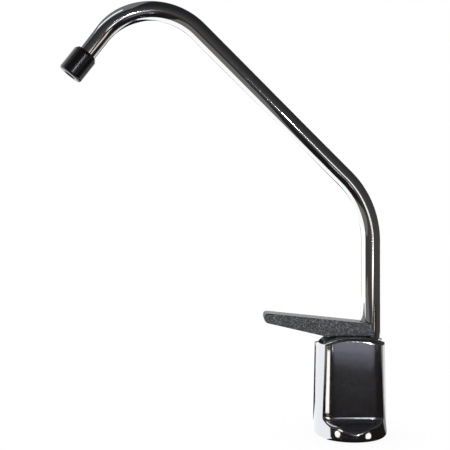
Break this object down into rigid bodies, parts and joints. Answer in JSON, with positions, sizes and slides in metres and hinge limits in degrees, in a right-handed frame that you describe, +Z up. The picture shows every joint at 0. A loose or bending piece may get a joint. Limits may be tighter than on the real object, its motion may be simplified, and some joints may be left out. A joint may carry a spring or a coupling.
{
  "type": "lever tap",
  "caption": "Deck-mounted lever tap: round chromed body with side flats, press-down black lever, and a slim swivelling gooseneck spout with a black tip.",
  "frame": {"origin": "on the body's axis in the plane of the deck, which is the flat underside of the base", "axes": "+Z up along the body's axis, -X towards the lever's tip and the spout, +Y across the body, square to its side flats"},
  "size_m": [0.1581, 0.0473, 0.2694],
  "materials": {
    "chrome": "bright chrome plate, mirror polished",
    "brass": "machined",
    "zinc_steel": "zinc plated",
    "stainless": "drawn, bright",
    "lever_plastic": "moulded, fine grain",
    "tip_plastic": "moulded, glossy",
    "bush_plastic": "moulded",
    "rubber": "moulded, satin"
  },
  "bodies": {
    "tap_body": {"body_shell": "chrome", "bonnet": "brass", "bonnet_o_ring": "rubber", "stem_o_ring": "rubber", "valve_seat": "brass", "stem_spring": "stainless", "spout_clip": "stainless", "spout_bush": "bush_plastic", "base_gasket": "rubber", "shank": "brass", "deck_washer": "rubber", "lock_washer": "zinc_steel", "mounting_nut": "zinc_steel", "supply_nut": "chrome", "supply_ferrule": "brass"},
    "valve_stem": {"stem": "brass", "seat_washer": "rubber", "seat_screw": "stainless"},
    "lever": {"lever": "lever_plastic", "lever_pin": "stainless"},
    "spout": {"spout_tube": "chrome", "spout_spigot": "brass", "spout_o_rings": "rubber", "spout_tip": "tip_plastic", "tip_insert": "bush_plastic"}
  },
  "joints": [
    {"name": "stem_lift", "type": "slide", "parent": "tap_body", "child": "valve_stem", "axis": [0, 0, 1], "range_m": [0, 0.00168], "deforming": ["stem_spring"]},
    {"name": "lever_press", "type": "hinge", "parent": "valve_stem", "child": "lever", "pos_m": [-0.004, 0, 0.0528], "axis": [0, -1, 0], "range_deg": [0, 12], "stiffness_Nm_per_rad": 0.1, "springref_deg": -22.92},
    {"name": "spout_swivel", "type": "hinge", "parent": "tap_body", "child": "spout", "pos_m": [0.0105, 0, 0.05], "axis": [0, 0, 1], "continuous": true}
  ],
  "couplings": [
    {"joint": "lever_press", "follows": "stem_lift", "rad_per_m": 125}
  ]
}
